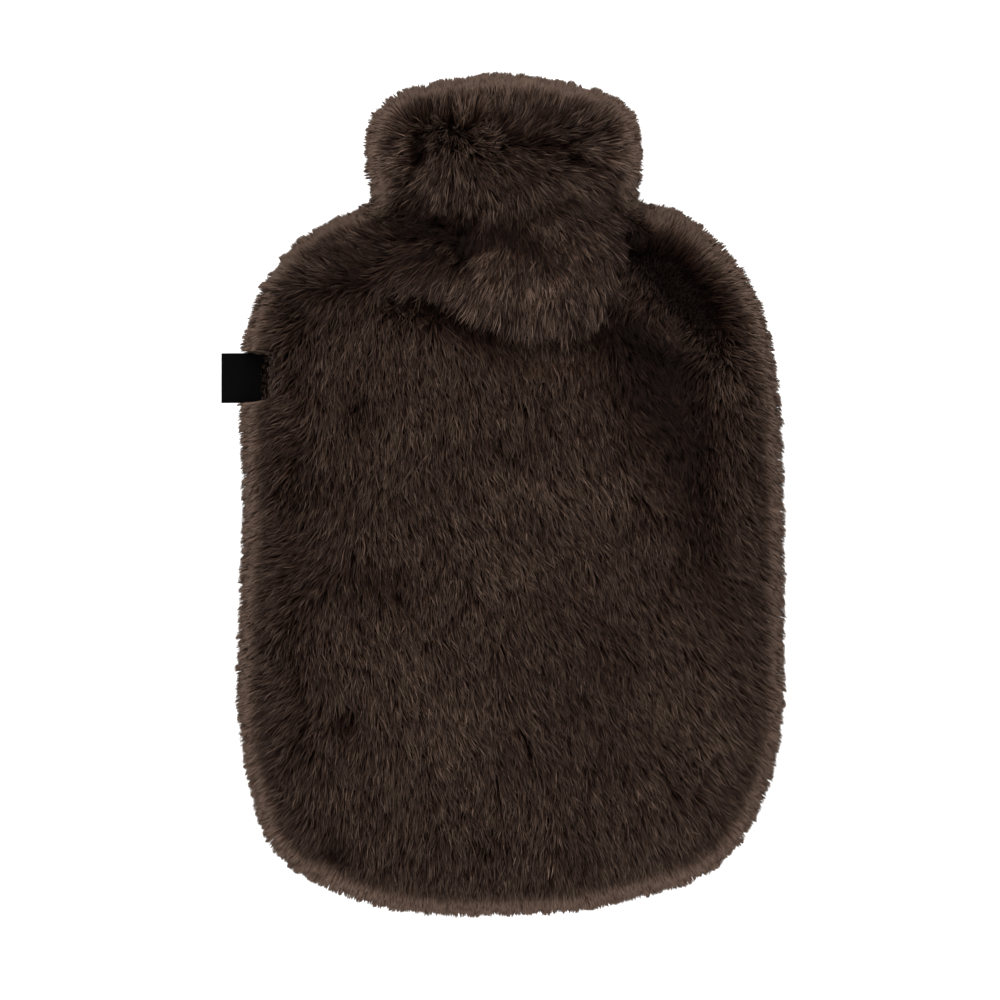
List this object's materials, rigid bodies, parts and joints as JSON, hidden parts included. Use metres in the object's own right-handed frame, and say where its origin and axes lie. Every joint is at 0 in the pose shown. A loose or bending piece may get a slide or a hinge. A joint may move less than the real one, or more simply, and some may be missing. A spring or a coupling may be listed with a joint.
{
  "type": "hot water bottle cover",
  "caption": "Hollow long-pile faux-fur pouch that fits over a hot water bottle, with a hooded neck, a front flap over its mouth and a folded label in one side seam.",
  "frame": {"origin": "on the surface that the cover lies on, under the middle of its body", "axes": "+Y towards the head, +Z out of the front, +X to the right seen from the front"},
  "size_m": [0.2559, 0.3809, 0.0874],
  "materials": {
    "front_fur": "long soft pile, dark brown with greyish-brown tips, matt with a slight sheen",
    "hood_fur": "long soft pile, dark brown with greyish-brown tips, matt with a slight sheen",
    "back_fur": "long soft pile, brown, lighter where it stands out at the rim",
    "woven_label": "black woven label with a close satin weave"
  },
  "bodies": {
    "root": {"back_panel": "back_fur", "front_panel": "front_fur", "hood_panel": "hood_fur", "side_label": "woven_label"}
  },
  "joints": []
}
